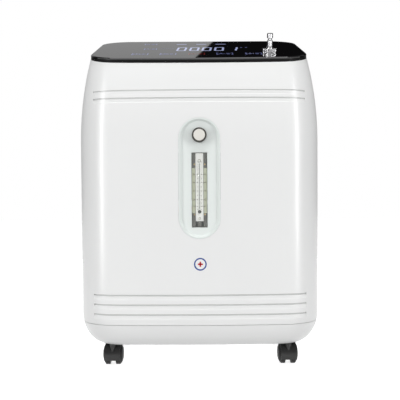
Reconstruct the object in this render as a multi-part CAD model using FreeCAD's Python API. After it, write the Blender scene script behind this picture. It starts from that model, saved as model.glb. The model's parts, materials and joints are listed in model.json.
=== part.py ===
import FreeCAD, Part
import math
import os

from FreeCAD import Vector

# Stationary oxygen concentrator on four twin-wheel casters. Millimetres, +Z up, front towards -Y.
# The origin is on the floor, at the centre of the object's footprint.

# Driving dimensions.
BODY_W = 411.0            # widest, at the shoulder
BODY_D = 270.0
BODY_FLOOR_Z = 41.0       # underside of the base tub
SEAM_Z = 78.0             # joint between the base tub and the two covers
SHOULDER_Z = 385.0        # above this the walls lean in
RIM_Z = 533.8             # the covers' sloped rim, at the depth RIM_Y
RIM_Y = -55.0
RIM_SLOPE = 0.33          # rise of the rim towards the back
WALL = 3.0
SEAM_GAP = 0.8
CORNER_R = 70.0
FRONT_CROWN_R = 1900.0
LEAN_R = 604.0            # side profile above the shoulder
FRONT_LEAN = 0.7          # the front and back lean in by this share of the sides' lean
TUB_CURVE_Z = 92.0        # the tub curves in below this
TUB_CURVE_A = 40.0
TUB_CURVE_B = 54.0
TAPER = 1.5               # draft from the shoulder down to the tub
SPLIT_Y = 32.0            # front cover meets rear cover
LID_T = 5.0
GLASS_T = 3.0
GROOVE_OUT = 3.0          # the groove's path runs this far outside the skin
GROOVE_PROFILE = (        # distance outwards and up from the skin, round the groove's section
    (GROOVE_OUT, 4.4), (0.0, 4.2), (-2.0, 3.6), (-2.0, 1.9), (-0.75, 1.3),
    (-0.55, -3.6), (0.0, -4.4), (GROOVE_OUT, -4.6))
GROOVE_END_X = 179.0
TOP_GROOVES = (463.0, 450.0)
LOW_GROOVES = (124.8, 108.8, 92.6)
FLOW_Z = 320.5            # centre of the oval flowmeter recess
FLOW_W = 69.4
FLOW_H = 200.0
FLOW_DEPTH = 4.5
METER_W = 25.4
METER_H = 123.0
METER_Z = 301.0
METER_D = 28.0
KNOB_Z = 391.0
KNOB_R = 12.2
NOZZLE_X = 124.0
NOZZLE_Y = -55.0
WHEEL_R = 18.5
WHEEL_IN = 4.8            # inner face of each wheel, from the caster's middle
WHEEL_TREAD = 8.2
WHEEL_DOME = 4.4
CASTER_X = 151.0
CASTER_Y = 78.0
TRAIL = 11.0              # axle behind the swivel axis
HOOD_GAP = 0.8
HOOD_T = 1.6
HOOD_FOOT = 9.1           # the hood ends this far below the axle
STEM_R = 4.0
AXLE_R = 1.5
AXLE_HALF = 15.0
HANDLE_Y = -16.0
HANDLE_Z = 418.0
HANDLE_L = 80.0
HANDLE_H = 34.0
HANDLE_DEPTH = 26.0
FILTER_W = 160.0
FILTER_H = 120.0
FILTER_Z = 330.0
PIP_R = 0.8               # the filter door's hinge pips
PIP_Y = 1.75              # their axis below the back's surface
PIP_Z = FILTER_Z - FILTER_H / 2 + 2.2
ROCKER_R = 1.0            # the mains switch's pivot pins
ROCKER_Y = 4.0
PROUD = 6.9               # how far the knob and the wall bumpers stand out
INLET_X = 120.0           # the column of mains fittings
INLET_Z = 124.0
SWITCH_Z = 164.0
BREAKER_Z = 196.0
VENTS = 7                 # slots low in the back, the first at VENT_Z
VENT_Z = 112.0
VENT_PITCH = 11.0
DECK_Z = 60.2             # top of the chassis plate
COMP_X = -50.0
COMP_Z = 132.0            # crankshaft axis
ECC = 4.0
ECC_R = 11.0
SHAFT_R = 6.0
CYL_OFFSET = 66.0         # cylinders left and right of the compressor's middle
BORE_R = 24.0
FOOT_Y = 46.0
BOX_TOP_Z = 238.0         # top of the compressor's sound box
TANK_X = -142.0
TANK_R = 30.0
TANK_H = 190.0
TOWER_X = 140.0
TOWER_YS = (-34.5, 34.5)
TOWER_CAP = 12.0
TOWER_TOP_Z = 382.0
DISPLAY_Y = -30.0         # origin of the display's layout on the lid
DIGITS = 5
DIGIT_X = -42.0
DIGIT_PITCH = 22.5
DIGIT_W = 18.0
FAN_BLADES = 7
PANEL_Y = 100.0           # front of the inner frame's upright panel

REAR_SCREWS = [(x, z) for x in (-134.0, 134.0) for z in (100.0, 400.0)]
SOLE_SCREWS = [(x, y) for x in (-95.0, 95.0) for y in (-95.0, 95.0)]
FRONT_Y = -BODY_D / 2
METER_Y = FRONT_Y + FLOW_DEPTH - 0.8
BORE_Y = METER_Y + 9.0
BORE_Z0 = 259.0
BORE_Z1 = 349.0
FLOAT_R = 3.0
FLOAT_Z = 264.8
BACK_Y = BODY_D / 2
PORT_Y = FRONT_Y + 38     # gas port of the flow valve
HALF_W = BODY_W / 2
RIM_ANGLE = math.degrees(math.atan(RIM_SLOPE))
X, Y, Z = Vector(1, 0, 0), Vector(0, 1, 0), Vector(0, 0, 1)
LID_UP = Vector(0, -math.sin(math.radians(RIM_ANGLE)), math.cos(math.radians(RIM_ANGLE)))

parts = {}


# Helpers.
def box(x0, x1, y0, y1, z0, z1):
    return Part.makeBox(x1 - x0, y1 - y0, z1 - z0, Vector(x0, y0, z0))


def cyl(r, h, at, axis=Z):
    return Part.makeCylinder(r, h, Vector(*at), axis)


def cone(r1, r2, h, at, axis=Z):
    return Part.makeCone(r1, r2, h, Vector(*at), axis)


def tube(ro, ri, h, at, axis=Z):
    return cyl(ro, h, at, axis).cut(cyl(ri, h, at, axis))


def fuse(*shapes):
    made = shapes[0]
    for s in shapes[1:]:
        made = made.fuse(s)
    return made.removeSplitter()


def moved(shape, x=0.0, y=0.0, z=0.0):
    s = shape.copy()
    s.translate(Vector(x, y, z))
    return s


def turned(shape, axis, degrees, about=(0, 0, 0)):
    s = shape.copy()
    s.rotate(Vector(*about), axis, degrees)
    return s


def mirrored(shape):
    return shape.mirror(Vector(0, 0, 0), X)


def revolve(points, axis_x=0.0, axis_y=0.0):
    """Turns a closed (r, z) outline about a vertical axis."""
    wire = Part.makePolygon([Vector(r, 0, z) for r, z in points + points[:1]])
    solid = Part.Face(wire).revolve(Vector(0, 0, 0), Z, 360)
    return moved(solid, axis_x, axis_y)


def rounded_bar(x0, x1, y0, y1, z0, z1, r, axis="z"):
    """A box with its four edges along one axis rounded."""
    b = box(x0, x1, y0, y1, z0, z1)
    index = "xyz".index(axis)
    along = [e for e in b.Edges if abs(e.tangentAt(e.FirstParameter)[index]) > 0.9]
    return b.makeFillet(r, along)


def oval(half_w, height, y0, y1, z_mid):
    """An upright stadium plate between two depths."""
    straight = height / 2 - half_w
    bar = box(-half_w, half_w, y0, y1, z_mid - straight, z_mid + straight)
    ends = [cyl(half_w, y1 - y0, (0, y0, z_mid + s * straight), Y) for s in (-1, 1)]
    return fuse(bar, *ends)


def pipe(points, r, bend):
    """A round tube of radius r through points, with tangent bends of radius bend."""
    edges = []
    at = points[0]
    for i in range(1, len(points) - 1):
        corner = Vector(*points[i])
        back = (Vector(*points[i - 1]) - corner).normalize()
        on = (Vector(*points[i + 1]) - corner).normalize()
        half = back.getAngle(on) / 2
        reach = bend / math.tan(half)
        start, end = corner + back * reach, corner + on * reach
        middle_way = (back + on).normalize()
        mid = corner + middle_way * (bend / math.sin(half) - bend)
        edges.append(Part.LineSegment(Vector(*at), start).toShape())
        edges.append(Part.Arc(start, mid, end).toShape())
        at = (end.x, end.y, end.z)
    edges.append(Part.LineSegment(Vector(*at), Vector(*points[-1])).toShape())
    path = Part.Wire(edges)
    first = Vector(*points[0])
    way = (Vector(*points[1]) - first).normalize()
    ring = Part.Wire(Part.makeCircle(r, first, way))
    return path.makePipeShell([ring], True, False)


# The body's outer form.
def inset_at(z_ref):
    """How far the side and the front walls stand in from the widest section, at a height."""
    foot = 0.0
    if z_ref < TUB_CURVE_Z:
        foot = TUB_CURVE_A * (1 - math.sqrt(1 - ((TUB_CURVE_Z - z_ref) / TUB_CURVE_B) ** 2))
    if z_ref > SHOULDER_Z:
        lean = LEAN_R - math.sqrt(LEAN_R**2 - (z_ref - SHOULDER_Z) ** 2)
        return lean, FRONT_LEAN * lean
    drafted = SHOULDER_Z - TUB_CURVE_Z
    return foot + TAPER * min(SHOULDER_Z - z_ref, drafted) / drafted, foot


def slope_at(z_ref):
    if z_ref <= SHOULDER_Z:
        return 0.0
    return RIM_SLOPE * ((z_ref - SHOULDER_Z) / (RIM_Z - SHOULDER_Z)) ** 2


def plan(z_ref, offset=0.0):
    """Half width, front y, back y and corner radius of the section at a height, less an offset."""
    inset, depth_inset = inset_at(z_ref)
    half_w = HALF_W - inset - offset
    front = FRONT_Y + depth_inset + offset
    back = BACK_Y - depth_inset - offset
    corner = max(CORNER_R - 0.8 * inset - offset, 8.0)
    return half_w, front, back, corner


def outline(z_ref, offset=0.0, slope=None):
    """The section as a closed wire: a crowned front, straight sides and back, round corners."""
    half_w, front, back, r = plan(z_ref, offset)
    slope = slope_at(z_ref) if slope is None else slope
    stretch = math.sqrt(1 + slope**2)
    front = RIM_Y + (front - RIM_Y) * stretch
    back = RIM_Y + (back - RIM_Y) * stretch
    crown_r = FRONT_CROWN_R
    cx = half_w - r
    crown_y = front + crown_r
    cy = crown_y - math.sqrt((crown_r - r) ** 2 - cx**2)
    lean = math.asin(cx / (crown_r - r))
    tangent = Vector(crown_r * math.sin(lean), crown_y - crown_r * math.cos(lean), 0)
    half = (math.pi / 2 + lean) / 2
    front_mid = Vector(cx + r * math.sin(half), cy - r * math.cos(half), 0)
    q = r * math.sqrt(0.5)
    right = [
        (tangent, front_mid, Vector(half_w, cy, 0)),
        (Vector(half_w, cy, 0), None, Vector(half_w, back - r, 0)),
        (Vector(half_w, back - r, 0), Vector(cx + q, back - r + q, 0), Vector(cx, back, 0)),
    ]
    flip = lambda p: Vector(-p.x, p.y, p.z)
    runs = [(flip(tangent), Vector(0, front, 0), tangent)] + right
    runs.append((Vector(cx, back, 0), None, Vector(-cx, back, 0)))
    runs += [(flip(c), None if b is None else flip(b), flip(a)) for a, b, c in reversed(right)]
    edges = []
    for a, b, c in runs:
        curve = Part.LineSegment(a, c) if b is None else Part.Arc(a, b, c)
        edges.append(curve.toShape())
    wire = Part.Wire(edges)
    wire.rotate(Vector(0, RIM_Y, 0), X, math.degrees(math.atan(slope)))
    wire.translate(Vector(0, 0, z_ref))
    return wire


def form(z0, z1, offset=0.0):
    """The body between two heights: a curved foot, drafted walls and a leaning shoulder."""
    made = []
    bands = ((0.0, TUB_CURVE_Z, 7), (TUB_CURVE_Z, SHOULDER_Z, 1), (SHOULDER_Z, 600.0, 6))
    for low, high, steps in bands:
        a, b = max(z0, low), min(z1, high)
        if a < b:
            heights = [b - (b - a) * math.sin(math.pi / 2 * (1 - i / steps)) for i in range(steps + 1)]
            wires = [outline(z, offset) for z in heights]
            made.append(Part.makeLoft(wires, True, steps == 1))
    return fuse(*made) if len(made) > 1 else made[0]


def covers_shell():
    """Both covers' skin in one piece, open at the top and the bottom."""
    return form(SEAM_Z + SEAM_GAP / 2, RIM_Z).cut(form(70.0, 545.0, WALL))


def lid_plate(offset, lift, thickness):
    """A plate of the rim's outline, lift above the rim's plane."""
    wire = outline(RIM_Z, offset)
    wire.translate(LID_UP * lift)
    return Part.Face(wire).extrude(LID_UP * thickness)


def on_lid(shape, x, y):
    """Places a shape made upright at the origin onto the sloped rim plane."""
    s = turned(shape, X, RIM_ANGLE)
    return moved(s, x, y, RIM_Z + (y - RIM_Y) * RIM_SLOPE)


# Casings.
def groove(z_ref):
    """A groove round the front, with a deep slot at its top edge and a shallow step below it."""
    half_w, front, back, r = plan(z_ref, -GROOVE_OUT)
    cx = half_w - r
    crown_y = front + FRONT_CROWN_R
    cy = crown_y - math.sqrt((FRONT_CROWN_R - r) ** 2 - cx**2)
    lean = math.asin(cx / (FRONT_CROWN_R - r))
    tangent = Vector(FRONT_CROWN_R * math.sin(lean), crown_y - FRONT_CROWN_R * math.cos(lean), z_ref)
    stop = math.asin((GROOVE_END_X - cx) / r)
    point = lambda a: Vector(cx + r * math.sin(a), cy - r * math.cos(a), z_ref)
    flip = lambda p: Vector(-p.x, p.y, p.z)
    end, mid = point(stop), point((stop + lean) / 2)
    path = Part.Wire([
        Part.Arc(flip(end), flip(mid), flip(tangent)).toShape(),
        Part.Arc(flip(tangent), Vector(0, front, z_ref), tangent).toShape(),
        Part.Arc(tangent, mid, end).toShape(),
    ])
    inwards = Vector(math.sin(stop), math.cos(stop), 0)
    section = [flip(end) + inwards * (GROOVE_OUT - out) + Z * up for out, up in GROOVE_PROFILE]
    ring = Part.makePolygon(section + section[:1])
    return path.makePipeShell([ring], True, False)


def make_front_cover(shell):
    cover = shell.common(box(-250, 250, -200, SPLIT_Y - SEAM_GAP / 2, 0, 700))
    for z in TOP_GROOVES + LOW_GROOVES:
        cover = cover.cut(groove(z))
    cover = cover.cut(oval(FLOW_W / 2, FLOW_H, FRONT_Y - 10, FRONT_Y + 30, FLOW_Z))
    return cover.cut(handle_hole())


def handle_hole():
    """The two openings that the grip cups fill."""
    y0, y1 = HANDLE_Y - HANDLE_L / 2, HANDLE_Y + HANDLE_L / 2
    z0, z1 = HANDLE_Z - HANDLE_H / 2, HANDLE_Z + HANDLE_H / 2
    hole = rounded_bar(HALF_W - 40, HALF_W + 10, y0, y1, z0, z1, 12, "x")
    return fuse(hole, mirrored(hole))


def make_handle_cups():
    """The grip cups, open to the sides and flush with the skin."""
    y0, y1 = HANDLE_Y - HANDLE_L / 2 + 0.3, HANDLE_Y + HANDLE_L / 2 - 0.3
    z0, z1 = HANDLE_Z - HANDLE_H / 2 + 0.3, HANDLE_Z + HANDLE_H / 2 - 0.3
    t = 2.2
    cup = rounded_bar(HALF_W - HANDLE_DEPTH, HALF_W + 5, y0, y1, z0, z1, 11.7, "x")
    pocket = rounded_bar(HALF_W - HANDLE_DEPTH + t, HALF_W + 9, y0 + t, y1 - t, z0 + t, z1 - t, 9.5, "x")
    cup = cup.cut(pocket).common(form(300.0, 500.0, 0.2))
    return [cup, mirrored(cup)]


def make_rear_cover(shell):
    cover = shell.common(box(-250, 250, SPLIT_Y + SEAM_GAP / 2, 200, 0, 700))
    for offset, y0 in ((WALL - 0.6, SPLIT_Y + 2), (WALL + 0.3, SPLIT_Y - 6)):
        band = form(100.0, 480.0, offset).cut(form(90.0, 490.0, WALL + 2.3))
        cover = cover.fuse(band.common(box(-250, 250, y0, SPLIT_Y + 6, 0, 700)))
    w, h = FILTER_W / 2, FILTER_H / 2
    z0, z1 = FILTER_Z - h, FILTER_Z + h
    tray = rounded_bar(-w - 3, w + 3, BACK_Y - 12, BACK_Y - 3, z0 - 3, z1 + 3, 9, "y")
    recess = rounded_bar(-w, w, BACK_Y - 9, BACK_Y + 5, z0, z1, 6, "y")
    recess = recess.fuse(box(-w, w, BACK_Y - 9, BACK_Y + 5, z0, z0 + 8))
    recess = recess.fuse(cyl(PIP_R + 0.05, 2 * w + 4, (-w - 2, BACK_Y - PIP_Y, PIP_Z), X))
    air_way = rounded_bar(-w + 12, w - 12, BACK_Y - 20, BACK_Y + 5, z0 + 12, z1 - 12, 4, "y")
    cover = cover.fuse(tray).cut(recess).cut(air_way)
    for i in range(VENTS):
        z = VENT_Z + i * VENT_PITCH
        cover = cover.cut(rounded_bar(-95, 55, BACK_Y - 10, BACK_Y + 5, z, z + 5, 2.4, "y"))
    for half_w, half_h, z in ((13.7, 10.2, INLET_Z), (13.3, 10.8, SWITCH_Z)):
        hole = box(-half_w, half_w, BACK_Y - 10, BACK_Y + 5, -half_h, half_h)
        cover = cover.cut(moved(hole, INLET_X, 0, z))
    cover = cover.cut(cyl(6.2, 20, (INLET_X, BACK_Y - 12, BREAKER_Z), Y))
    for x, z in REAR_SCREWS:
        cover = cover.cut(cyl(2.2, 20, (x, BACK_Y - 12, z), Y)).cut(cyl(4.6, 6, (x, BACK_Y - 1.6, z), Y))
    return cover


def make_base_tub():
    """The floor tray, with a lip inside the covers, caster sockets, chassis bosses and air slots."""
    top = SEAM_Z - SEAM_GAP / 2
    tub = form(BODY_FLOOR_Z, top).fuse(form(66.0, 84.0, WALL + 0.4))
    tub = tub.cut(form(BODY_FLOOR_Z + WALL, 68.0, WALL)).cut(form(60.0, 90.0, WALL + 2.4))
    for x in (-CASTER_X, CASTER_X):
        for y in (-CASTER_Y, CASTER_Y):
            tub = tub.fuse(cyl(9, 22, (x, y, 42.5)))
            tub = tub.cut(cyl(STEM_R + 0.05, 40, (x, y, 30)))
    for x, y in SOLE_SCREWS:
        tub = tub.fuse(cyl(5, DECK_Z - 2.1 - 42.5, (x, y, 42.5)))
        tub = tub.cut(cyl(1.6, 30, (x, y, 35))).cut(cyl(4, 2.2, (x, y, 40)))
    for i in range(8):
        x = -70 + i * 14
        tub = tub.cut(rounded_bar(x, x + 6, -45, 45, 30, 50, 2.9, "z"))
    return tub


def make_lid():
    """The black carrier plate, with a window under the display and a hole for the outlet."""
    plate = lid_plate(0.6, 0.0, LID_T)
    skirt = Part.Face(outline(RIM_Z, WALL + 0.4)).extrude(-Z * 7)
    skirt = skirt.cut(Part.Face(outline(RIM_Z, WALL + 2.6)).extrude(-Z * 8))
    plate = plate.fuse(skirt)
    window = box(-94, 82, -6, 76, -10, 20)
    plate = plate.cut(on_lid(window, 0, DISPLAY_Y))
    plate = plate.cut(on_lid(cyl(7.2, 40, (0, 0, -20)), NOZZLE_X, NOZZLE_Y))
    return plate


def make_glass():
    glass = lid_plate(0.6, LID_T, GLASS_T)
    rise = lambda e: (e.CenterOfMass - Vector(0, RIM_Y, RIM_Z)).dot(LID_UP)
    top = [e for e in glass.Edges if rise(e) > LID_T + GLASS_T - 0.1]
    glass = glass.makeChamfer(1.4, top)
    return glass.cut(on_lid(cyl(7.2, 40, (0, 0, -20)), NOZZLE_X, NOZZLE_Y))


# Flowmeter and outlet.
def make_flow_bezel():
    """The oval dish let into the front cover."""
    body = oval(FLOW_W / 2 - 0.25, FLOW_H - 0.5, FRONT_Y - 3, FRONT_Y + FLOW_DEPTH + 2.5, FLOW_Z)
    body = body.common(form(150.0, 460.0))
    lip_w, floor_w = FLOW_W / 2 - 1.8, FLOW_W / 2 - 6.0
    dish = []
    for half, y in ((lip_w + 0.5, FRONT_Y - 1), (floor_w, FRONT_Y + FLOW_DEPTH)):
        straight = FLOW_H / 2 - FLOW_W / 2
        a, b = Vector(-half, y, FLOW_Z - straight), Vector(-half, y, FLOW_Z + straight)
        c, d = Vector(half, y, FLOW_Z + straight), Vector(half, y, FLOW_Z - straight)
        top, low = Vector(0, y, FLOW_Z + straight + half), Vector(0, y, FLOW_Z - straight - half)
        dish.append(Part.Wire([
            Part.LineSegment(a, b).toShape(), Part.Arc(b, top, c).toShape(),
            Part.LineSegment(c, d).toShape(), Part.Arc(d, low, a).toShape(),
        ]))
    body = body.cut(Part.makeLoft(dish, True, True))
    w, h = METER_W / 2 + 0.3, METER_H / 2 + 0.3
    body = body.cut(box(-w, w, FRONT_Y, FRONT_Y + 20, METER_Z - h, METER_Z + h))
    return body.cut(cyl(4.2, 40, (0, FRONT_Y, KNOB_Z), Y))


def make_meter():
    """The clear block, with its tapered bore open to a port at each end."""
    w, h = METER_W / 2, METER_H / 2
    block = box(-w, w, METER_Y, METER_Y + METER_D, METER_Z - h, METER_Z + h)
    block = block.cut(cone(FLOAT_R + 0.3, FLOAT_R + 1.2, BORE_Z1 - BORE_Z0, (0, BORE_Y, BORE_Z0)))
    for z in (BORE_Z0 + 2.4, BORE_Z1 - 2.4):
        block = block.cut(cyl(2.2, METER_D, (0, BORE_Y, z), Y))
    for x in (-8.5, 8.5):
        for z in (METER_Z - 50, METER_Z + 42):
            block = block.cut(cyl(1.6, 12, (x, METER_Y + METER_D - 12, z), Y))
    return block


def make_knob():
    """A knurled knob on its spindle, hollow behind, with a seat for its cap."""
    knob = cyl(KNOB_R, PROUD + FLOW_DEPTH - 1.4, (0, FRONT_Y - PROUD + 0.4, KNOB_Z), Y)
    edge = [e for e in knob.Edges if e.CenterOfMass.y < FRONT_Y - 6]
    knob = knob.makeFillet(1.6, edge)
    knob = knob.cut(cyl(9.5, 1.9, (0, FRONT_Y - PROUD + 0.1, KNOB_Z), Y))
    for i in range(36):
        ridge = cyl(0.42, 9, (0, FRONT_Y - 3.0, KNOB_Z + KNOB_R + 0.1), Y)
        knob = knob.cut(turned(ridge, Y, i * 10, (0, 0, KNOB_Z)))
    spindle = cyl(3.0, 26 - FLOW_DEPTH + 2, (0, FRONT_Y + FLOW_DEPTH - 2, KNOB_Z), Y)
    return fuse(knob, spindle)


def make_valve_body():
    """A needle valve's barrel behind the knob, with its gas port on the left."""
    body = cyl(9, 42 - FLOW_DEPTH, (0, FRONT_Y + FLOW_DEPTH + 2.6, KNOB_Z), Y)
    body = body.cut(cyl(3.05, 25.6 - FLOW_DEPTH, (0, FRONT_Y + FLOW_DEPTH + 1, KNOB_Z), Y))
    body = body.cut(cyl(3.4, 15, (0, FRONT_Y + 26.5, KNOB_Z), Y))
    port = cyl(3.2, 14, (-20, PORT_Y, KNOB_Z), X).cut(cyl(9, 34, (0, FRONT_Y + 10, KNOB_Z), Y))
    return body.fuse(port).cut(cyl(1.6, 20, (-20, PORT_Y, KNOB_Z), X))


def make_needle():
    stem = cyl(2.9, 7, (0, FRONT_Y + 26.0, KNOB_Z), Y)
    return fuse(stem, cone(1.8, 0.5, 4, (0, FRONT_Y + 33.0, KNOB_Z), Y))


def make_nozzle():
    """A barbed outlet: threaded shank below the lid, plain stem, neck and head above it."""
    profile = [(2.0, -22), (4.6, -22), (4.6, -16), (6.0, -16), (6.0, 0.4), (6.6, 0.4), (6.6, 1.4),
               (6.0, 8.2), (4.6, 10.2), (4.6, 20.6), (3.4, 21.6), (3.4, 23.8), (5.2, 24.8), (5.2, 31.6),
               (4.5, 32.6), (2.0, 32.6)]
    lift = LID_T + GLASS_T
    return on_lid(revolve([(r, z + lift) for r, z in profile]), NOZZLE_X, NOZZLE_Y)


def make_nut():
    """The five-lobed hand nut that clamps the outlet to the lid."""
    lift = LID_T + GLASS_T
    nut = cyl(7.9, 6.6, (0, 0, lift + 0.1))
    for i in range(5):
        lobe = cyl(3.0, 6.6, (9.8, 0, lift + 0.1))
        nut = nut.fuse(turned(lobe, Z, i * 72 + 20))
    nut = nut.cut(cyl(6.9, 10, (0, 0, lift - 1)))
    return on_lid(nut.removeSplitter(), NOZZLE_X, NOZZLE_Y)


# Back panel fittings.
def make_foam():
    w, h = FILTER_W / 2 - 6, FILTER_H / 2 - 6
    return box(-w, w, BACK_Y - 8.9, BACK_Y - 5.9, FILTER_Z - h, FILTER_Z + h)


def make_filter_door():
    """A louvred door that hinges on two pips at its lower edge."""
    w, h = FILTER_W / 2 - 0.6, FILTER_H / 2 - 0.6
    door = rounded_bar(-w, w, BACK_Y - 5.5, BACK_Y - 0.5, FILTER_Z - h, FILTER_Z + h, 5.4, "y")
    door = door.cut(box(-w - 1, w + 1, BACK_Y - 9, BACK_Y - 3, FILTER_Z - h - 1, FILTER_Z - h + 3))
    for i in range(9):
        z = FILTER_Z - 40 + i * 9.2
        door = door.cut(rounded_bar(-w + 16, w - 16, BACK_Y - 10, BACK_Y + 2, z, z + 3.6, 1.7, "y"))
    door = door.cut(cyl(9, 4, (0, BACK_Y - 2.2, FILTER_Z + h + 1), Y))
    pips = [cyl(PIP_R, 4, (x, BACK_Y - PIP_Y, PIP_Z), X) for x in (-w - 2, w - 2)]
    return fuse(door, *pips)


def make_switch():
    frame = box(-15, 15, BACK_Y, BACK_Y + 2.0, -12.5, 12.5)
    body = box(-13, 13, BACK_Y - 20, BACK_Y, -10.5, 10.5)
    frame = frame.fuse(body).cut(box(-10.5, 10.5, BACK_Y - 9.5, BACK_Y + 5, -8, 8))
    frame = frame.cut(cyl(ROCKER_R + 0.05, 23.8, (-11.9, BACK_Y - ROCKER_Y, 0), X))
    return moved(frame, INLET_X, 0, SWITCH_Z)


def make_rocker():
    """A paddle tilted to its off side, rocking about an axis along X."""
    face_r = 16.0
    disc = cyl(face_r, 20.4, (-10.2, BACK_Y - 12.6, 0), X)
    block = disc.common(box(-10.2, 10.2, BACK_Y - 7.0, BACK_Y + 10, -7.2, 7.2))
    rocker = fuse(block, box(-10.2, 10.2, BACK_Y - 7.2, BACK_Y - 2, -5.2, 5.2))
    rocker = fuse(rocker, cyl(ROCKER_R, 23.2, (-11.6, BACK_Y - ROCKER_Y, 0), X))
    rocker = moved(rocker, INLET_X, 0, SWITCH_Z)
    return turned(rocker, X, 9.0, (0, BACK_Y - ROCKER_Y, SWITCH_Z))


def make_inlet():
    """A three-pin appliance inlet with its two-screw flange."""
    flange = rounded_bar(-24.5, 24.5, BACK_Y, BACK_Y + 2.6, -11.5, 11.5, 4, "y")
    body = box(-13.4, 13.4, BACK_Y - 22, BACK_Y, -9.9, 9.9)
    inlet = flange.fuse(body)
    inlet = inlet.cut(rounded_bar(-12, 12, BACK_Y - 14, BACK_Y + 5, -8.2, 8.2, 2.5, "y"))
    for x in (-20, 20):
        inlet = inlet.cut(cyl(1.7, 10, (x, BACK_Y - 1, 0), Y))
    for x, z in ((-7, -2), (0, 2), (7, -2)):
        inlet = inlet.fuse(box(x - 1, x + 1, BACK_Y - 16, BACK_Y - 3, z - 2, z + 2))
    return moved(inlet, INLET_X, 0, INLET_Z)


def make_breaker():
    collar = cyl(8, 2.0, (INLET_X, BACK_Y, BREAKER_Z), Y)
    barrel = cyl(6.1, 22, (INLET_X, BACK_Y - 22, BREAKER_Z), Y)
    return fuse(collar, barrel).cut(cyl(3.2, 10, (INLET_X, BACK_Y - 6, BREAKER_Z), Y))


def pan_screw(r, length, head_r, head_h, at, axis):
    shank = cyl(r, length, at, axis)
    start = Vector(*at) + axis * length
    head = Part.makeCylinder(head_r, head_h, start, axis)
    slot_a = Part.makeCylinder(head_r * 0.45, head_h * 0.6, start + axis * head_h * 0.5, axis)
    return fuse(shank, head).cut(slot_a)


# Casters.
def make_wheel(side):
    """A tread ring with a domed outer face and a blind axle hole; side is -1 or 1 along X."""
    w0, w1 = WHEEL_IN, WHEEL_IN + WHEEL_TREAD
    face = w1 + WHEEL_DOME
    pts = [(w0, 0), (w0, WHEEL_R - 0.8), (w0 + 0.8, WHEEL_R), (w1 - 1.0, WHEEL_R), (w1, WHEEL_R - 1.2)]
    pts = [Vector(x, 0, z) for x, z in pts]
    edges = [Part.LineSegment(p, q).toShape() for p, q in zip(pts, pts[1:])]
    dome_mid, dome_end = Vector(w1 + 0.72 * WHEEL_DOME, 0, 12.2), Vector(face, 0, 5.0)
    edges.append(Part.Arc(pts[-1], dome_mid, dome_end).toShape())
    for a, b in ((dome_end, Vector(face, 0, 0)), (Vector(face, 0, 0), pts[0])):
        edges.append(Part.LineSegment(a, b).toShape())
    wheel = Part.Face(Part.Wire(edges)).revolve(Vector(0, 0, 0), X, 360)
    wheel = wheel.cut(tube(15.2, 14.2, 4.0, (w1 + 0.9, 0, 0), X))
    wheel = wheel.cut(cyl(AXLE_R + 0.05, AXLE_HALF + 0.3 - w0 + 1, (w0 - 1, 0, 0), X))
    return wheel if side > 0 else mirrored(wheel)


def make_hood():
    """The caster's hood over the front and top of both wheels, its web and its stem boss."""
    inner, outer = WHEEL_R + HOOD_GAP, WHEEL_R + HOOD_GAP + HOOD_T
    half = WHEEL_IN + WHEEL_TREAD
    web_half = WHEEL_IN - 0.5
    front = box(-20, 20, -40, 0, -HOOD_FOOT, 40)
    top = box(-20, 20, -0.1, 13.5, 0, 40)
    shell = tube(outer, inner, 2 * half, (-half, 0, 0), X).common(front.fuse(top))
    web = cyl(inner + 0.3, 2 * web_half, (-web_half, 0, 0), X)
    web = web.common(fuse(front, top, box(-20, 20, -0.1, 7, -7, 5)))
    neck_top = BODY_FLOOR_Z - 0.6 - WHEEL_R
    rings = [Part.Wire(Part.makeCircle(r, Vector(0, y, z))) for r, y, z in
             ((1.6, -18.2, 6.0), (7.2, -TRAIL, neck_top))]
    keel = box(-1.0, 1.0, -21.5, -TRAIL, 7.5, neck_top).common(cyl(10.4, 40, (0, -TRAIL, 0)))
    neck = fuse(cyl(6.4, neck_top - 10, (0, -TRAIL, 10)), Part.makeLoft(rings, True, True), keel)
    wheel_space = cyl(inner, 40, (-20, 0, 0), X).cut(box(-web_half, web_half, -50, 50, -50, 50))
    hood = fuse(shell, web, neck.cut(wheel_space))
    hood = hood.cut(cyl(STEM_R + 0.06, 40, (0, -TRAIL, 8.0)))
    return hood.cut(cyl(AXLE_R, 60, (-30, 0, 0), X))


def make_axle():
    return cyl(AXLE_R, 2 * AXLE_HALF, (-AXLE_HALF, 0, 0), X)


# Air system inside.
def make_chassis():
    plate = rounded_bar(-172, 172, -104, 104, DECK_Z - 2, DECK_Z, 40, "z")
    for x in (-CASTER_X, CASTER_X):
        for y in (-CASTER_Y, CASTER_Y):
            plate = plate.cut(cyl(11, 10, (x, y, 55)))
    for i in range(6):
        plate = plate.cut(rounded_bar(-100 + i * 18, -92 + i * 18, -40, 40, 55, 65, 3.5, "z"))
    for x, y in SOLE_SCREWS:
        plate = plate.cut(cyl(1.6, 10, (x, y, 55)))
    return plate


def make_inner_frame():
    """The upright panel that carries the electronics, with a foot on the chassis."""
    panel = box(-120, 96, PANEL_Y, PANEL_Y + 2, DECK_Z, 500)
    foot = box(-80, 80, PANEL_Y - 18, PANEL_Y, DECK_Z, DECK_Z + 2)
    window = rounded_bar(-70, 70, PANEL_Y - 5, PANEL_Y + 5, 275, 385, 12, "y")
    return fuse(panel, foot).cut(window)


def make_sound_box():
    outer = rounded_bar(COMP_X - 110, COMP_X + 110, -62, 62, DECK_Z, BOX_TOP_Z, 12, "z")
    inner = rounded_bar(COMP_X - 108, COMP_X + 108, -60, 60, DECK_Z - 1, BOX_TOP_Z - 2, 10, "z")
    return outer.cut(inner).cut(cyl(54, 20, (COMP_X, 0, BOX_TOP_Z - 10)))


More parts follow.
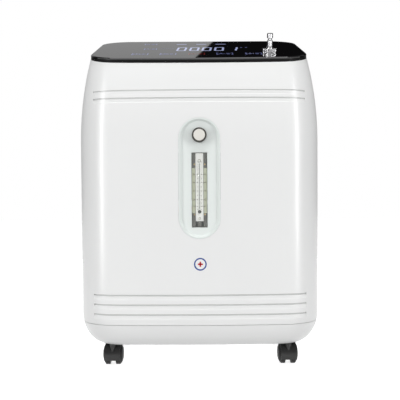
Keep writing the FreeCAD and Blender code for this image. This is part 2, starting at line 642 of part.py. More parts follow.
def make_compressor_body():
    """Motor shell with a crankcase and a cylinder at each end, on four feet."""
    body = cyl(46, 78, (COMP_X - 39, 0, COMP_Z), X).cut(cyl(41, 68, (COMP_X - 34, 0, COMP_Z), X))
    for s in (-1, 1):
        cx = COMP_X + s * CYL_OFFSET
        case = rounded_bar(cx - 27, cx + 27, -36, 36, COMP_Z - 36, COMP_Z + 36, 12, "x")
        case = case.fuse(cyl(30, 34, (cx, 0, COMP_Z + 30)))
        case = case.cut(cyl(30, 42, (cx - 21, 0, COMP_Z), X))
        case = case.cut(cyl(BORE_R, 60, (cx, 0, COMP_Z + 5)))
        case = case.fuse(box(cx - 9, cx + 9, -FOOT_Y - 12, FOOT_Y + 12, COMP_Z - 36, COMP_Z - 31))
        body = body.fuse(case)
    return body.cut(cyl(SHAFT_R + 0.08, 200, (COMP_X - 100, 0, COMP_Z), X))


def make_crankshaft():
    """Rotor core on its shaft with an eccentric at each end, half a turn apart."""
    span = CYL_OFFSET + 30
    made = cyl(SHAFT_R, 2 * span, (COMP_X - span, 0, COMP_Z), X)
    made = made.fuse(cyl(26, 52, (COMP_X - 26, 0, COMP_Z), X))
    for s in (-1, 1):
        cx = COMP_X + s * CYL_OFFSET
        made = made.fuse(cyl(ECC_R, 12, (cx - 6, 0, COMP_Z - s * ECC), X))
    return made


def make_piston(s):
    """Big end, rod and head in one piece, as in a rocking-piston pump."""
    cx, cz = COMP_X + s * CYL_OFFSET, COMP_Z - s * ECC
    rod = box(cx - 4, cx + 4, -6, 6, cz + 12, cz + 50)
    head = cyl(BORE_R - ECC - 0.8, 5, (cx, 0, cz + 49))
    made = fuse(cyl(17, 9, (cx - 4.5, 0, cz), X), rod, head)
    return made.cut(cyl(ECC_R + 0.05, 20, (cx - 10, 0, cz), X))


def make_heads():
    heads = []
    for s in (-1, 1):
        cx, z0 = COMP_X + s * CYL_OFFSET, COMP_Z + 64
        head = rounded_bar(cx - 32, cx + 32, -32, 32, z0, z0 + 16, 6, "z")
        for i in range(6):
            y = -27 + i * 10
            head = head.cut(box(cx - 40, cx + 40, y, y + 4, z0 + 7, z0 + 20))
        heads.append(head)
    return heads


def make_compressor_mounts():
    """Four ribbed rubber mounts between the chassis and the compressor's feet."""
    ribs = 5
    pitch = (COMP_Z - 36 - DECK_Z) / ribs
    profile = [(0, DECK_Z)]
    for i in range(ribs):
        z = DECK_Z + i * pitch
        profile += [(9, z), (9, z + pitch * 0.6), (6.5, z + pitch * 0.7), (6.5, z + pitch)]
    profile.append((0, COMP_Z - 36))
    spots = [(COMP_X + s * CYL_OFFSET, t * FOOT_Y) for s in (-1, 1) for t in (-1, 1)]
    return [revolve(profile, x, y) for x, y in spots]


def make_fan_frame():
    half, spoke = 59.5, 2.5
    frame = rounded_bar(-half, half, -half, half, 0, 25, 6, "z").cut(cyl(56, 40, (0, 0, -5)))
    hub = cyl(17, 5, (0, 0, 0))
    arms = [box(-58, 58, -spoke, spoke, 0, 3), box(-spoke, spoke, -58, 58, 0, 3)]
    return moved(fuse(frame, hub, *arms), COMP_X, 0, BOX_TOP_Z)


def make_fan_rotor():
    """Hub with seven pitched blades."""
    hub = cyl(19, 15, (0, 0, 0))
    for i in range(FAN_BLADES):
        blade = turned(box(15, 60, -11, 11, 6.5, 8.3), X, 32, (0, 0, 7.4))
        blade = blade.common(cyl(54, 30, (0, 0, -5)))
        hub = hub.fuse(turned(blade, Z, i * 360 / FAN_BLADES))
    return moved(hub, COMP_X, 0, BOX_TOP_Z + 7)


def make_coil():
    """A serpentine of copper tube over the fan."""
    r, reach, pitch, runs = 4.0, 44.0, 20.0, 6
    z = BOX_TOP_Z + 25 + r
    points = [(COMP_X - pitch * (runs - 1) / 2, -58, z)]
    for i in range(runs):
        x = COMP_X + pitch * (i - (runs - 1) / 2)
        side = 1 if i % 2 == 0 else -1
        if i:
            points.append((x, -side * reach, z))
        points.append((x, side * reach, z))
    points[-1] = (points[-1][0], -58, z)
    return pipe(points, r, 9.8)


def make_towers():
    z0, z1 = DECK_Z + TOWER_CAP, TOWER_TOP_Z - TOWER_CAP
    return [tube(31, 28.5, z1 - z0, (TOWER_X, y, z0)) for y in TOWER_YS]


def make_tower_caps():
    caps = []
    for y in TOWER_YS:
        for z in (DECK_Z, TOWER_TOP_Z - TOWER_CAP):
            caps.append(rounded_bar(TOWER_X - 34, TOWER_X + 34, y - 34, y + 34, z, z + TOWER_CAP, 8, "z"))
    return caps


def make_manifold():
    block = box(TOWER_X - 22, TOWER_X + 22, -60, 60, TOWER_TOP_Z, TOWER_TOP_Z + 26)
    for y in TOWER_YS:
        block = block.cut(cyl(4, 40, (TOWER_X, y, TOWER_TOP_Z - 5)))
    return block


def make_solenoids():
    made = []
    for y in TOWER_YS:
        z = TOWER_TOP_Z + 26
        coil = rounded_bar(TOWER_X - 14, TOWER_X + 14, y - 12, y + 12, z + 4, z + 36, 3, "z")
        made.append(fuse(cyl(10, 5, (TOWER_X, y, z)), coil, cyl(4, 6, (TOWER_X, y, z + 35))))
    return made


def make_tank():
    """The oxygen buffer tank, rounded at both ends, with its outlet on top."""
    tank = cyl(TANK_R, TANK_H, (TANK_X, 0, BOX_TOP_Z))
    ends = [e for e in tank.Edges if e.Curve.TypeId == "Part::GeomCircle"]
    return tank.makeFillet(10, ends).fuse(cyl(6, 14, (TANK_X, 0, BOX_TOP_Z + TANK_H - 1)))


def make_control_board():
    """The main board on standoffs behind the panel."""
    y0 = PANEL_Y + 8
    board = box(-100, 80, y0, y0 + 1.6, 418, 490)
    chips = [(-92, -60, 9, 466, 482), (-40, -10, 6, 430, 450), (20, 62, 8, 448, 472)]
    blocks = [box(x0, x1, y0 + 1.6, y0 + 1.6 + h, z0, z1) for x0, x1, h, z0, z1 in chips]
    posts = [cyl(2.5, 6, (x, PANEL_Y + 2, z), Y) for x in (-94, 74) for z in (424, 484)]
    return fuse(board, *blocks, *posts)


def make_supply():
    body = rounded_bar(-88, -6, PANEL_Y - 38, PANEL_Y, 428, 470, 3, "y")
    for i in range(8):
        body = body.cut(box(-80 + i * 9, -76 + i * 9, PANEL_Y - 40, PANEL_Y - 35, 434, 464))
    return body


def make_display_board():
    """The display's circuit board, held up under the lid's window, and its five digit blocks."""
    board = box(-90, 78, -2, 72, -11, -9.4)
    starts = [DIGIT_X + i * DIGIT_PITCH for i in range(DIGITS)]
    digits = [box(x, x + DIGIT_W, 12, 70, -9.4, LID_T) for x in starts]
    return on_lid(board, 0, DISPLAY_Y), [on_lid(d, 0, DISPLAY_Y) for d in digits]


def make_hoses():
    """Silicone hoses: tank to valve, and flowmeter to outlet."""
    tank_top = BOX_TOP_Z + TANK_H + 13
    valve = (-20, PORT_Y, KNOB_Z)
    meter = (0, METER_Y + METER_D, BORE_Z1 - 2.4)
    shank = Vector(NOZZLE_X, NOZZLE_Y, RIM_Z) - LID_UP * 14
    below = shank - LID_UP * 30
    to_valve = [(TANK_X, 0, tank_top), (TANK_X, 0, 478), (-110, -80, 478), (-75, valve[1], valve[2]), valve]
    to_outlet = [meter, (0, meter[1] + 30, meter[2]), (80, below.y, 440), tuple(below), tuple(shank)]
    return [pipe(to_valve, 4.0, 14), pipe(to_outlet, 4.0, 12)]


# Build and write.
def build():
    shell = covers_shell()
    parts["base_tub"] = [make_base_tub()]
    parts["front_cover"] = [make_front_cover(shell)]
    parts["rear_cover"] = [make_rear_cover(shell)]
    parts["top_bezel"] = [make_lid()]
    parts["touch_glass"] = [make_glass()]
    parts["handle_cups"] = make_handle_cups()
    rear = [pan_screw(2.0, 9, 4.2, 2.2, (x, BACK_Y - 10.6, z), Y) for x, z in REAR_SCREWS]
    sole = [pan_screw(1.5, 14, 3.6, 1.6, (x, y, 56), -Z) for x, y in SOLE_SCREWS]
    parts["case_screws"] = rear + sole
    parts["wall_bumpers"] = [cyl(9, PROUD, (x, BACK_Y, z), Y) for x in (-130, 130) for z in (250, 350)]

    parts["flow_bezel"] = [make_flow_bezel()]
    parts["flowmeter_block"] = [make_meter()]
    parts["flow_float"] = [Part.makeSphere(FLOAT_R, Vector(0, BORE_Y, FLOAT_Z))]
    parts["flow_knob"] = [make_knob()]
    parts["flow_knob_cap"] = [cyl(9.4, 1.9, (0, FRONT_Y - PROUD, KNOB_Z), Y)]
    parts["flow_valve_body"] = [make_valve_body()]
    parts["flow_needle"] = [make_needle()]
    parts["outlet_nozzle"] = [make_nozzle()]
    parts["outlet_nut"] = [make_nut()]

    parts["filter_door"] = [make_filter_door()]
    parts["filter_foam"] = [make_foam()]
    parts["mains_inlet"] = [make_inlet()]
    parts["switch_frame"] = [make_switch()]
    parts["switch_rocker"] = [make_rocker()]
    parts["breaker_body"] = [make_breaker()]
    parts["breaker_button"] = [cyl(3.0, 7, (INLET_X, BACK_Y - 3, BREAKER_Z), Y)]

    spots = [(f"{fb}_{lr}", x, y) for fb, y in (("front", -CASTER_Y), ("rear", CASTER_Y))
             for lr, x in (("left", -CASTER_X), ("right", CASTER_X))]
    parts["caster_stems"] = [cyl(STEM_R, 36, (x, y, 27)) for _, x, y in spots]
    for place, x, y in spots:
        at = (x, y + TRAIL, WHEEL_R)
        parts[f"caster_{place}_hood"] = [moved(make_hood(), *at), moved(make_axle(), *at)]
        parts[f"caster_{place}_wheel_a"] = [moved(make_wheel(-1), *at)]
        parts[f"caster_{place}_wheel_b"] = [moved(make_wheel(1), *at)]

    parts["chassis_plate"] = [make_chassis()]
    parts["inner_frame"] = [make_inner_frame()]
    parts["sound_box"] = [make_sound_box()]
    parts["compressor_body"] = [make_compressor_body()]
    parts["compressor_crankshaft"] = [make_crankshaft()]
    parts["compressor_piston_left"] = [make_piston(-1)]
    parts["compressor_piston_right"] = [make_piston(1)]
    parts["compressor_heads"] = make_heads()
    parts["compressor_mounts"] = make_compressor_mounts()
    parts["cooling_fan_frame"] = [make_fan_frame()]
    parts["cooling_fan_rotor"] = [make_fan_rotor()]
    parts["cooling_coil"] = [make_coil()]
    parts["sieve_towers"] = make_towers()
    parts["tower_caps"] = make_tower_caps()
    parts["valve_manifold"] = [make_manifold()]
    parts["solenoid_valves"] = make_solenoids()
    parts["oxygen_tank"] = [make_tank()]
    parts["control_board"] = [make_control_board()]
    parts["power_supply"] = [make_supply()]
    board, digits = make_display_board()
    parts["display_board"] = [board]
    parts["display_digits"] = digits
    parts["oxygen_hoses"] = make_hoses()


def write():
    os.makedirs("parts", exist_ok=True)
    for name, solids in parts.items():
        singles = [s for shape in solids for s in shape.Solids]
        bad = [s for s in singles if not s.isValid() or s.Volume <= 0]
        volume = round(sum(s.Volume for s in singles) / 1000, 1)
        print(name, len(singles), "solids", volume, "cm3", "BAD" if bad else "")
        shape = singles[0] if len(singles) == 1 else Part.makeCompound(singles)
        shape.exportStep(f"parts/{name}.step")
    print(len(parts), "nodes")


build()
write()
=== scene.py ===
import json
import math
import bpy
from mathutils import Matrix, Vector


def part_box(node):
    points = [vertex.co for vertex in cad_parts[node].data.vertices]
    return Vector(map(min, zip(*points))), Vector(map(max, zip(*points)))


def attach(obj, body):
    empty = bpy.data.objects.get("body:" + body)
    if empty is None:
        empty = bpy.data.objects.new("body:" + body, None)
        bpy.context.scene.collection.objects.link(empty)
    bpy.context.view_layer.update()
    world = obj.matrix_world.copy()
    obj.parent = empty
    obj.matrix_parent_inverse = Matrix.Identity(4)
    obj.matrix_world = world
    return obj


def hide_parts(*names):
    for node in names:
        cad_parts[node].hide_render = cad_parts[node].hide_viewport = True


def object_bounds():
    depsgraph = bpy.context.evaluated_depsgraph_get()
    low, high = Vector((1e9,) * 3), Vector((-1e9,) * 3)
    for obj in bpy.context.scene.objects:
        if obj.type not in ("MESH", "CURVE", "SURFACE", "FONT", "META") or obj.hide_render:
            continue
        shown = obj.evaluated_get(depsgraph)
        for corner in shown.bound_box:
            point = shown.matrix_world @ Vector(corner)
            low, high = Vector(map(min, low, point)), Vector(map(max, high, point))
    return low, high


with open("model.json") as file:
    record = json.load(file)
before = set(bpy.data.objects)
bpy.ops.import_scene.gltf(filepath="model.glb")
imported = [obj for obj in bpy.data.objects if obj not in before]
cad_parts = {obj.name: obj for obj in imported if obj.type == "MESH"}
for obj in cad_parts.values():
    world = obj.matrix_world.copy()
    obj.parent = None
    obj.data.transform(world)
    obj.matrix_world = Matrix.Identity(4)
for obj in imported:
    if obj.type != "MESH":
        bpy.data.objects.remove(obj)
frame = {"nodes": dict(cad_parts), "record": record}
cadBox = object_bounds()
nodes = frame["nodes"]
mm = 0.001


def deselectAll():
    if bpy.context.object and bpy.context.object.mode != "OBJECT":
        bpy.ops.object.mode_set(mode="OBJECT")
    bpy.ops.object.select_all(action="DESELECT")


def started(name):
    piece = bpy.context.object
    piece.name = name
    piece.data.name = name
    return piece


def selectWhere(piece, test, kind="FACE"):
    # picks faces by a test on centre and normal, edges on their midpoint, vertices on their place
    bpy.ops.object.mode_set(mode="EDIT")
    bpy.ops.mesh.select_mode(type=kind)
    bpy.ops.mesh.select_all(action="DESELECT")
    bpy.ops.object.mode_set(mode="OBJECT")
    mesh = piece.data
    if kind == "FACE":
        for face in mesh.polygons:
            face.select = test(face.center, face.normal)
    elif kind == "EDGE":
        for edge in mesh.edges:
            a, b = (mesh.vertices[i].co for i in edge.vertices)
            edge.select = test((a + b) / 2, b - a)
    else:
        for vertex in mesh.vertices:
            vertex.select = test(vertex.co, vertex.normal)
    bpy.ops.object.mode_set(mode="EDIT")


def objectMode():
    bpy.ops.object.mode_set(mode="OBJECT")


def onlySelect(*pieces):
    deselectAll()
    for piece in pieces:
        piece.select_set(True)
    bpy.context.view_layer.objects.active = pieces[0]


def addModifier(piece, kind, **settings):
    onlySelect(piece)
    modifier = piece.modifiers.new(kind.title(), kind)
    for key, value in settings.items():
        setattr(modifier, key, value)
    bpy.ops.object.modifier_apply(modifier=modifier.name)


def placed(piece, matrix):
    # puts the place into the mesh and leaves the object at the origin
    onlySelect(piece)
    piece.matrix_world = matrix @ piece.matrix_world
    bpy.ops.object.transform_apply(location=True, rotation=True, scale=True)
    return piece


def copied(piece, matrix):
    twin = piece.copy()
    twin.data = piece.data.copy()
    bpy.context.scene.collection.objects.link(twin)
    return placed(twin, matrix)


def joined(name, pieces):
    onlySelect(*pieces)
    bpy.ops.object.join()
    return started(name)


def done(piece, body, finish, replaces=(), angle=35):
    onlySelect(piece)
    bpy.ops.object.transform_apply(location=True, rotation=True, scale=True)
    bpy.ops.object.shade_smooth_by_angle(angle=math.radians(angle))
    piece.data.materials.clear()
    piece.data.materials.append(finish)
    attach(piece, body)
    if replaces:
        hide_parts(*replaces)
    return piece


class Value:
    def __init__(self, tree, socket):
        self.tree, self.socket = tree, socket

    def math(self, operation, other=None, swap=False):
        node = self.tree.nodes.new("ShaderNodeMath")
        node.operation = operation
        terms = [self] if other is None else [self, other]
        if swap:
            terms.reverse()
        for entry, term in zip(node.inputs, terms):
            if isinstance(term, Value):
                self.tree.links.new(term.socket, entry)
            else:
                entry.default_value = term
        return Value(self.tree, node.outputs[0])

    def __add__(self, other):
        return self.math("ADD", other)

    def __sub__(self, other):
        return self.math("SUBTRACT", other)

    def __rsub__(self, other):
        return self.math("SUBTRACT", other, swap=True)

    def __mul__(self, other):
        return self.math("MULTIPLY", other)

    def __gt__(self, other):
        return self.math("GREATER_THAN", other)

    __radd__ = __add__
    __rmul__ = __mul__


class Finish:
    def __init__(self, name, **sockets):
        self.material = bpy.data.materials.new(name)
        self.material.use_nodes = True
        self.tree = self.material.node_tree
        self.shader = self.tree.nodes["Principled BSDF"]
        for key, value in sockets.items():
            self.shader.inputs[key.replace("_", " ")].default_value = value

    def node(self, kind, settings=None, sockets=None):
        made = self.tree.nodes.new("ShaderNode" + kind)
        for key, value in (settings or {}).items():
            setattr(made, key, value)
        for key, value in (sockets or {}).items():
            if isinstance(value, Value):
                self.tree.links.new(value.socket, made.inputs[key])
            else:
                made.inputs[key].default_value = value
        return made

    def out(self, node, output=0):
        return Value(self.tree, node.outputs[output])

    def place(self, stretch=(1, 1, 1)):
        where = self.out(self.node("TexCoord"), "Object")
        return self.out(self.node("Mapping", {}, {"Vector": where, "Scale": stretch}))

    def noise(self, size, detail=2.0, stretch=(1, 1, 1)):
        # size is the grain's width in metres
        made = self.node("TexNoise", {}, {"Vector": self.place(stretch), "Scale": 1 / size,
                                          "Detail": detail})
        return self.out(made)

    def cells(self, size):
        made = self.node("TexVoronoi", {}, {"Vector": self.place(), "Scale": 1 / size})
        return self.out(made)

    def mix(self, share, first, second):
        # a Mix node has its colour sockets at inputs 6 and 7 and its colour at output 2
        made = self.node("Mix", {"data_type": "RGBA"}, {"Factor": share})
        for index, value in ((6, first), (7, second)):
            if isinstance(value, Value):
                self.tree.links.new(value.socket, made.inputs[index])
            else:
                made.inputs[index].default_value = (*value, 1)
        return self.out(made, 2)

    def feed(self, socket, value):
        self.tree.links.new(value.socket, self.shader.inputs[socket])
        return self

    def bump(self, height, depth, strength=1.0):
        made = self.node("Bump", {}, {"Height": height, "Distance": depth, "Strength": strength})
        return self.feed("Normal", self.out(made))


print("frame loaded:", len(nodes), "nodes")

view = {
    "lens": 63.0,
    "toFront": 1148 * mm,      # from the front panel to the lens
    "height": 292.7 * mm,
    "aside": 0.7 * mm,
    "pitch": -0.41,            # degrees, downwards
    "roll": -0.36,
    "near": 0.05,
    "far": 60,
}


def makeCamera():
    data = bpy.data.cameras.new("camera")
    data.lens = view["lens"]
    data.clip_start = view["near"]
    data.clip_end = view["far"]
    camera = bpy.data.objects.new("camera", data)
    bpy.context.scene.collection.objects.link(camera)
    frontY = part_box("front_cover")[0].y
    tilt = Matrix.Rotation(math.radians(90 + view["pitch"]), 4, "X")
    turn = Matrix.Rotation(math.radians(view["roll"]), 4, "Z")
    place = Matrix.Translation((view["aside"], frontY - view["toFront"], view["height"]))
    camera.matrix_world = place @ tilt @ turn
    bpy.context.scene.camera = camera


makeCamera()
print("camera placed")

studio = {
    "floorSize": 14.0,
    "floorWhite": 0.93,
    "glow": 0.80,                      # the floor's own white
    "front": 0.40,                     # the room's brightness in front of the object
    "back": 0.20,
    "sides": 0.06,                     # share of it that is left at the far left and right
    "below": 1.85,                     # and share of it under the horizon
    "frontToBack": (-0.45, 0.25),      # each pair is where a change starts and ends, as a
    "toSides": (0.55, 0.95),           # direction's share along its axis
    "toBelow": (-0.35, -0.02),
    "screenBehind": (0.55, 0.62),
    "screenFoot": (0.26, 0.30),
    "screenTop": (0.66, 0.74),
    "screen": 0.004,
    "card": 0.42,                      # grey card that the glass lid mirrors on its left
    "cardEdge": (0.6615, -0.3189, 0.6789),
}

lamps = (
    # name, place, target (the object's middle if None), width, height, power
    ("stripLeft", (-1.75, -1.35, 0.45), None, 0.14, 1.7, 24.0),
    ("stripRight", (1.75, -1.35, 0.45), None, 0.14, 1.7, 24.0),
    ("top", (0, -0.7, 2.6), (0, -0.1, 0.3), 2.4, 1.4, 30.0),
    ("rear", (0, 1.9, 0.3), None, 1.2, 0.8, 17.0),
)


def makeWorld():
    world = bpy.data.worlds.new("studio")
    bpy.context.scene.world = world
    world.use_nodes = True
    tree = world.node_tree
    tree.nodes.clear()

    def node(kind, settings=None, sockets=None):
        made = tree.nodes.new("ShaderNode" + kind)
        for key, value in (settings or {}).items():
            setattr(made, key, value)
        for key, value in (sockets or {}).items():
            if isinstance(value, Value):
                tree.links.new(value.socket, made.inputs[key])
            else:
                made.inputs[key].default_value = value
        return made

    direction = Value(tree, node("TexCoord").outputs["Generated"])
    parts = node("SeparateXYZ", {}, {"Vector": direction})
    x, y, z = (Value(tree, parts.outputs[i]) for i in range(3))

    def ramp(value, name):
        low, high = studio[name]
        made = node("MapRange", {"interpolation_type": "SMOOTHSTEP"},
                    {"Value": value, "From Min": low, "From Max": high})
        return Value(tree, made.outputs[0])

    behind = ramp(y, "frontToBack")
    aside = ramp(x.math("ABSOLUTE"), "toSides")
    room = studio["front"] * (1 - behind) + studio["back"] * behind
    room = room * (1 - aside * (1 - studio["sides"]))
    room = room * (ramp(z, "toBelow") * (1 - studio["below"]) + studio["below"])
    # a dark screen hangs behind the object; a grey card covers its left part
    screen = ramp(y, "screenBehind") * ramp(z, "screenFoot") * (1 - ramp(z, "screenTop"))
    edge = node("VectorMath", {"operation": "DOT_PRODUCT"}, {0: direction, 1: studio["cardEdge"]})
    card = 1 - (Value(tree, edge.outputs["Value"]) > 0)
    level = room * (1 - screen) + screen * (card * studio["card"] + studio["screen"])
    camera = Value(tree, node("LightPath").outputs["Is Camera Ray"])
    shown = level * (1 - camera) + camera
    background = node("Background", {}, {"Strength": shown, "Color": (1, 1, 1, 1)})
    output = node("OutputWorld")
    tree.links.new(background.outputs[0], output.inputs[0])


def addArea(name, place, target, width, height, power):
    data = bpy.data.lights.new(name, "AREA")
    data.shape = "RECTANGLE"
    data.size, data.size_y = width, height
    data.energy = power
    lamp = bpy.data.objects.new(name, data)
    bpy.context.scene.collection.objects.link(lamp)
    lamp.location = place
    lamp.rotation_euler = (Vector(target) - Vector(place)).to_track_quat("-Z", "Y").to_euler()
    lamp.visible_camera = False


def makeStage():
    bpy.ops.mesh.primitive_plane_add(size=studio["floorSize"], location=(0, 0, cadBox[0].z))
    floor = started("floor")
    white = studio["floorWhite"]
    pale = Finish("paleFloor", Roughness=0.9, Base_Color=(white, white, white, 1),
                  Emission_Color=(1, 1, 1, 1), Emission_Strength=studio["glow"])
    floor.visible_diffuse = False
    floor.data.materials.append(pale.material)
    bpy.context.scene.view_settings.view_transform = "Standard"
    centre = (cadBox[0] + cadBox[1]) / 2
    for name, place, target, width, height, power in lamps:
        addArea(name, place, target or centre, width, height, power)


deselectAll()
makeWorld()
makeStage()
print("stage lit")

finishes = {}

# painted shade in the front cover's grooves: where each grey line lies, its half height, its ends, its
# front limit, its share and its grey
grooves = {
    "heights": (0.4658, 0.4528, 0.1276, 0.1116, 0.0954),   # the slot's middle in each groove
    "half": 1.1 * mm,
    "ends": 177 * mm,
    "front": -100 * mm,
    "dustAndShade": 0.45,
    "paintedShadeGrey": (0.36, 0.365, 0.36),
}


def grooveDust(made):
    # painted shade: a grey line along each groove in the front cover, standing in for the shade that falls
    # in the slot
    parts = made.node("SeparateXYZ", {}, {"Vector": made.place()})
    x, y, z = (made.out(parts, i) for i in range(3))
    rows = [1 - ((z - height).math("ABSOLUTE") > grooves["half"]) for height in grooves["heights"]]
    inside = (1 - (x.math("ABSOLUTE") > grooves["ends"])) * (1 - (y > grooves["front"]))
    return sum(rows[1:], rows[0]) * inside * grooves["dustAndShade"]


# sizes are grain widths in metres; a spread is how far a value wanders over the surface
gloss = {
    "flow": 0.09, "tint": 0.015, "patch": 0.012, "patchSpread": 0.08, "film": 0.03, "filmSpread": 0.1,
    "depth": 0.00002, "strength": 0.35, "coatRoughness": 0.16,
}
satin = {"cloud": 0.02, "dark": 0.88, "spread": 0.12}
worn = {"cloud": 0.01, "dark": 0.9, "spread": 0.12}
dull = {"dustAndShade": 0.004, "pale": 1.7, "lift": 0.01, "spread": 0.2, "grain": 0.0008, "depth": 0.00008}
glass = {"black": (0.003, 0.003, 0.0035, 1), "ior": 1.52, "film": 0.05, "spread": 0.02, "smooth": 0.01}
clear = {"tint": (0.72, 0.76, 0.72, 1), "film": 0.004, "cloud": 0.01, "spread": 0.05, "smooth": 0.03,
         "seen": 0.10, "seenSpread": 0.04}
glow = {"dot": 0.0011, "dotShare": 0.5, "least": 0.6, "dark": 0.75, "roughness": 0.015}
foam = {"pore": 0.0012, "dark": (0.01, 0.01, 0.01), "pale": (0.08, 0.08, 0.085), "depth": 0.0006,
        "roughness": 0.85, "spread": 0.1}
ink = {"speck": 0.0009, "dark": 0.85, "film": 0.002, "roughness": 0.35, "spread": 0.1}


def shaded(colour, share):
    return tuple(c * share for c in colour)


def glossPlastic(name, colour, roughness, peel, coat=0.3, shine=0.5, paintsGrooveShade=False):
    # moulded plastic: faint flow shading, a broken gloss and a fine orange peel; where asked, painted
    # shade along the front cover's grooves
    made = Finish(name, IOR=1.5, Coat_Roughness=gloss["coatRoughness"], Specular_IOR_Level=shine)
    body = made.mix(made.noise(gloss["flow"], 3), shaded(colour, 1 - 2 * gloss["tint"]), colour)
    # painted shade: the grooves' grey lines are mixed into the colour
    if paintsGrooveShade:
        body = made.mix(grooveDust(made), body, grooves["paintedShadeGrey"])
    made.feed("Base Color", body)
    patches, film = made.noise(gloss["patch"], 4), made.noise(gloss["film"], 2)
    made.feed("Roughness", patches * gloss["patchSpread"] + (roughness - gloss["patchSpread"] / 2))
    made.feed("Coat Weight", film * gloss["filmSpread"] + (coat - gloss["filmSpread"] / 2))
    ripple = made.noise(peel, 2) + made.noise(peel * 6, 2) * 0.5
    made.bump(ripple, gloss["depth"], gloss["strength"])
    return made.material


def satinPlastic(name, colour, roughness=0.5, grain=0.0006, depth=0.00006, shine=0.5, light=0.0):
    # spark-eroded texture on moulded parts; light is painted light, a glow in the part's own colour that
    # stands in for light reaching it
    made = Finish(name, IOR=1.48, Specular_IOR_Level=shine)
    if light:
        made.shader.inputs["Emission Color"].default_value = (*colour, 1)
        made.shader.inputs["Emission Strength"].default_value = light
    speck = made.cells(grain)
    made.feed("Base Color", made.mix(made.noise(satin["cloud"], 4), shaded(colour, satin["dark"]), colour))
    made.feed("Roughness", speck * satin["spread"] + (roughness - 0.05))
    made.bump(speck + made.noise(grain * 3, 3), depth, 0.5)
    return made.material


def metal(name, colour, roughness, brush=(1, 1, 1), grain=0.0004, depth=0.00001):
    made = Finish(name, Metallic=1.0)
    lines = made.noise(grain, 3, brush)
    made.feed("Base Color", made.mix(made.noise(worn["cloud"], 3), shaded(colour, worn["dark"]), colour))
    made.feed("Roughness", lines * worn["spread"] + roughness)
    made.bump(lines, depth, 0.5)
    return made.material


def softRubber(name, colour, roughness=0.7):
    made = Finish(name, IOR=1.45)
    dustAndShade = made.noise(dull["dustAndShade"], 5)
    pale = tuple(c * dull["pale"] + dull["lift"] for c in colour)
    made.feed("Base Color", made.mix(dustAndShade, colour, pale))
    made.feed("Roughness", dustAndShade * dull["spread"] + (roughness - dull["spread"] / 2))
    made.bump(made.noise(dull["grain"], 4), dull["depth"], 0.6)
    return made.material


def lidGlass():
    made = Finish("blackGlass", IOR=glass["ior"], Base_Color=glass["black"])
    made.feed("Roughness", made.noise(glass["film"], 3) * glass["spread"] + glass["smooth"])
    return made.material


def clearAcrylic():
    made = Finish("clearAcrylic", IOR=1.49, Base_Color=clear["tint"])
    made.feed("Roughness", made.noise(clear["film"], 3) * clear["spread"] + clear["smooth"])
    made.feed("Alpha", made.noise(clear["cloud"], 2) * clear["seenSpread"] + clear["seen"])
    return made.material


def lit(name, colour, strength):
    # a lit legend under the glass, with a soft dotted structure
    made = Finish(name, Roughness=glow["roughness"], IOR=glass["ior"], Base_Color=glass["black"],
                  Emission_Strength=strength)
    dots = made.noise(glow["dot"], 1) * glow["dotShare"] + glow["least"]
    made.feed("Emission Color", made.mix(dots, shaded(colour, glow["dark"]), colour))
    return made.material


def openFoam():
    made = Finish("openFoam", IOR=1.4)
    pores = made.cells(foam["pore"])
    made.feed("Base Color", made.mix(pores, foam["dark"], foam["pale"]))
    made.feed("Roughness", pores * foam["spread"] + foam["roughness"])
    made.bump(pores, foam["depth"])
    return made.material


def printedInk(name, colour):
    made = Finish(name, IOR=1.5)
    made.feed("Base Color", made.mix(made.noise(ink["speck"], 3), shaded(colour, ink["dark"]), colour))
    made.feed("Roughness", made.noise(ink["film"], 2) * ink["spread"] + ink["roughness"])
    return made.material


